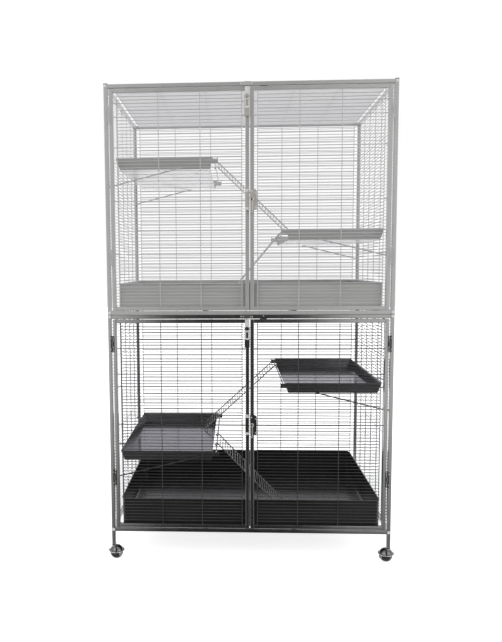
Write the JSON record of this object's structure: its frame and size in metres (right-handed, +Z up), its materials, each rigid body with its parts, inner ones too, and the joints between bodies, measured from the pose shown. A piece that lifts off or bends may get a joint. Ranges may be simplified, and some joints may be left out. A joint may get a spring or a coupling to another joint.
{
  "type": "two-tier rat cage",
  "caption": "Tall wire rat cage on casters: two stacked tiers with double front doors, deep trays, side shelves on rods and hooked ladder ramps.",
  "frame": {"origin": "on the floor below the middle of the cage", "axes": "+Z up, doors on the -Y side, +X to the right of someone facing the doors"},
  "size_m": [1.0026, 0.6621, 1.6],
  "materials": {
    "lower_frame_paint": "dark grey hammered enamel, satin gloss",
    "upper_frame_paint": "pale grey hammered enamel, satin gloss",
    "lower_wire_paint": "dark grey enamel on wire",
    "upper_wire_paint": "pale grey enamel on wire",
    "lower_tray_paint": "near black enamel, satin",
    "upper_tray_paint": "pale grey enamel, satin",
    "lower_shelf_paint": "dark grey enamel, glossy",
    "upper_shelf_paint": "pale grey enamel, glossy",
    "hinge_metal": "zinc plate, dulled",
    "bright_zinc": "bright zinc plate",
    "latch_enamel": "dark enamel, glossy",
    "caster_chrome": "polished",
    "caster_rubber": "black, slightly worn",
    "black_plastic": "moulded black",
    "white_plastic": "moulded white"
  },
  "bodies": {
    "cage": {"bolt_covers": "white_plastic", "bolt_keepers": "bright_zinc", "caster_sockets": "black_plastic", "door_stops": "bright_zinc", "frame_screws": "bright_zinc", "hinge_leaves": "hinge_metal", "lower_back_grille": "lower_wire_paint", "lower_cross_rails": "lower_frame_paint", "lower_left_frame": "lower_frame_paint", "lower_left_grille": "lower_wire_paint", "lower_left_shelf": "lower_shelf_paint", "lower_right_frame": "lower_frame_paint", "lower_right_grille": "lower_wire_paint", "lower_right_shelf": "lower_shelf_paint", "lower_shelf_rods": "lower_wire_paint", "lower_tray": "lower_tray_paint", "post_plugs": "black_plastic", "roof_grille": "upper_wire_paint", "upper_back_grille": "upper_wire_paint", "upper_cross_rails": "upper_frame_paint", "upper_left_frame": "upper_frame_paint", "upper_left_grille": "upper_wire_paint", "upper_left_shelf": "upper_shelf_paint", "upper_right_frame": "upper_frame_paint", "upper_right_grille": "upper_wire_paint", "upper_right_shelf": "upper_shelf_paint", "upper_shelf_rods": "upper_wire_paint", "upper_tray": "upper_tray_paint"},
    "lower_left_door": {"lower_left_door": "lower_frame_paint", "lower_left_door_grille": "lower_wire_paint", "lower_bolt_guide": "bright_zinc", "lower_strike_plate": "bright_zinc"},
    "lower_right_door": {"lower_right_door": "lower_frame_paint", "lower_right_door_grille": "lower_wire_paint", "lower_latch_case": "latch_enamel"},
    "lower_bolt": {"lower_bolt": "bright_zinc"},
    "lower_latch_lever": {"lower_latch_lever": "caster_chrome"},
    "lower_latch_tongue": {"lower_latch_tongue": "bright_zinc"},
    "upper_left_door": {"upper_left_door": "upper_frame_paint", "upper_left_door_grille": "upper_wire_paint", "upper_bolt_guide": "bright_zinc", "upper_strike_plate": "bright_zinc"},
    "upper_right_door": {"upper_right_door": "upper_frame_paint", "upper_right_door_grille": "upper_wire_paint", "upper_latch_case": "latch_enamel"},
    "upper_bolt": {"upper_bolt": "bright_zinc"},
    "upper_latch_lever": {"upper_latch_lever": "caster_chrome"},
    "upper_latch_tongue": {"upper_latch_tongue": "bright_zinc"},
    "lower_right_ramp": {"lower_right_ramp": "lower_wire_paint"},
    "lower_left_ramp": {"lower_left_ramp": "lower_wire_paint"},
    "upper_left_ramp": {"upper_left_ramp": "upper_wire_paint"},
    "upper_right_ramp": {"upper_right_ramp": "upper_wire_paint"},
    "front_left_caster_hood": {"front_left_caster_hood": "caster_chrome"},
    "front_left_caster_ball": {"front_left_caster_ball": "caster_rubber"},
    "front_right_caster_hood": {"front_right_caster_hood": "caster_chrome"},
    "front_right_caster_ball": {"front_right_caster_ball": "caster_rubber"},
    "rear_left_caster_hood": {"rear_left_caster_hood": "caster_chrome"},
    "rear_left_caster_ball": {"rear_left_caster_ball": "caster_rubber"},
    "rear_right_caster_hood": {"rear_right_caster_hood": "caster_chrome"},
    "rear_right_caster_ball": {"rear_right_caster_ball": "caster_rubber"}
  },
  "joints": [
    {"name": "lower_left_door_hinge", "type": "hinge", "parent": "cage", "child": "lower_left_door", "pos_m": [-0.46, -0.3172, 0.4725], "axis": [0, 0, -1], "range_deg": [0, 170]},
    {"name": "lower_right_door_hinge", "type": "hinge", "parent": "cage", "child": "lower_right_door", "pos_m": [0.46, -0.3172, 0.4725], "axis": [0, 0, 1], "range_deg": [0, 170]},
    {"name": "lower_bolt_slide", "type": "slide", "parent": "lower_left_door", "child": "lower_bolt", "axis": [0, 0, 1], "range_m": [0, 0.02]},
    {"name": "lower_latch_turn", "type": "hinge", "parent": "lower_right_door", "child": "lower_latch_lever", "pos_m": [0.006, -0.3245, 0.476], "axis": [0, -1, 0], "range_deg": [0, 40]},
    {"name": "lower_tongue_slide", "type": "slide", "parent": "lower_right_door", "child": "lower_latch_tongue", "axis": [-1, 0, 0], "range_m": [0, 0.008]},
    {"name": "upper_left_door_hinge", "type": "hinge", "parent": "cage", "child": "upper_left_door", "pos_m": [-0.46, -0.3172, 1.222], "axis": [0, 0, -1], "range_deg": [0, 170]},
    {"name": "upper_right_door_hinge", "type": "hinge", "parent": "cage", "child": "upper_right_door", "pos_m": [0.46, -0.3172, 1.222], "axis": [0, 0, 1], "range_deg": [0, 170]},
    {"name": "upper_bolt_slide", "type": "slide", "parent": "upper_left_door", "child": "upper_bolt", "axis": [0, 0, 1], "range_m": [0, 0.02]},
    {"name": "upper_latch_turn", "type": "hinge", "parent": "upper_right_door", "child": "upper_latch_lever", "pos_m": [0.006, -0.3245, 1.223], "axis": [0, -1, 0], "range_deg": [0, 40]},
    {"name": "upper_tongue_slide", "type": "slide", "parent": "upper_right_door", "child": "upper_latch_tongue", "axis": [-1, 0, 0], "range_m": [0, 0.008]},
    {"name": "lower_right_ramp_lift", "type": "hinge", "parent": "cage", "child": "lower_right_ramp", "pos_m": [0.115, 0.198, 0.604], "axis": [0, 1, 0], "range_deg": [0, 60]},
    {"name": "lower_left_ramp_lift", "type": "hinge", "parent": "cage", "child": "lower_left_ramp", "pos_m": [-0.115, -0.112, 0.367], "axis": [0, -1, 0], "range_deg": [0, 60]},
    {"name": "upper_left_ramp_lift", "type": "hinge", "parent": "cage", "child": "upper_left_ramp", "pos_m": [-0.115, -0.188, 1.3555], "axis": [0, -1, 0], "range_deg": [0, 60]},
    {"name": "upper_right_ramp_lift", "type": "hinge", "parent": "cage", "child": "upper_right_ramp", "pos_m": [0.115, -0.112, 1.119], "axis": [0, 1, 0], "range_deg": [0, 60]},
    {"name": "front_left_caster_swivel", "type": "hinge", "parent": "cage", "child": "front_left_caster_hood", "pos_m": [-0.4685, -0.3085, 0.05], "axis": [0, 0, 1], "continuous": true},
    {"name": "front_left_caster_roll", "type": "hinge", "parent": "front_left_caster_hood", "child": "front_left_caster_ball", "pos_m": [-0.46161, -0.30271, 0.022], "axis": [-0.6428, 0.766, 0], "continuous": true},
    {"name": "front_right_caster_swivel", "type": "hinge", "parent": "cage", "child": "front_right_caster_hood", "pos_m": [0.4685, -0.3085, 0.05], "axis": [0, 0, 1], "continuous": true},
    {"name": "front_right_caster_roll", "type": "hinge", "parent": "front_right_caster_hood", "child": "front_right_caster_ball", "pos_m": [0.46347, -0.30104, 0.022], "axis": [-0.829, -0.5592, 0], "continuous": true},
    {"name": "rear_left_caster_swivel", "type": "hinge", "parent": "cage", "child": "rear_left_caster_hood", "pos_m": [-0.4685, 0.3085, 0.05], "axis": [0, 0, 1], "continuous": true},
    {"name": "rear_left_caster_roll", "type": "hinge", "parent": "rear_left_caster_hood", "child": "rear_left_caster_ball", "pos_m": [-0.47696, 0.30542, 0.022], "axis": [0.342, -0.9397, 0], "continuous": true},
    {"name": "rear_right_caster_swivel", "type": "hinge", "parent": "cage", "child": "rear_right_caster_hood", "pos_m": [0.4685, 0.3085, 0.05], "axis": [0, 0, 1], "continuous": true},
    {"name": "rear_right_caster_roll", "type": "hinge", "parent": "rear_right_caster_hood", "child": "rear_right_caster_ball", "pos_m": [0.47158, 0.30004, 0.022], "axis": [0.9397, 0.342, 0], "continuous": true}
  ],
  "couplings": [
    {"joint": "lower_tongue_slide", "follows": "lower_latch_turn", "m_per_rad": 0.0114},
    {"joint": "upper_tongue_slide", "follows": "upper_latch_turn", "m_per_rad": 0.0114}
  ]
}
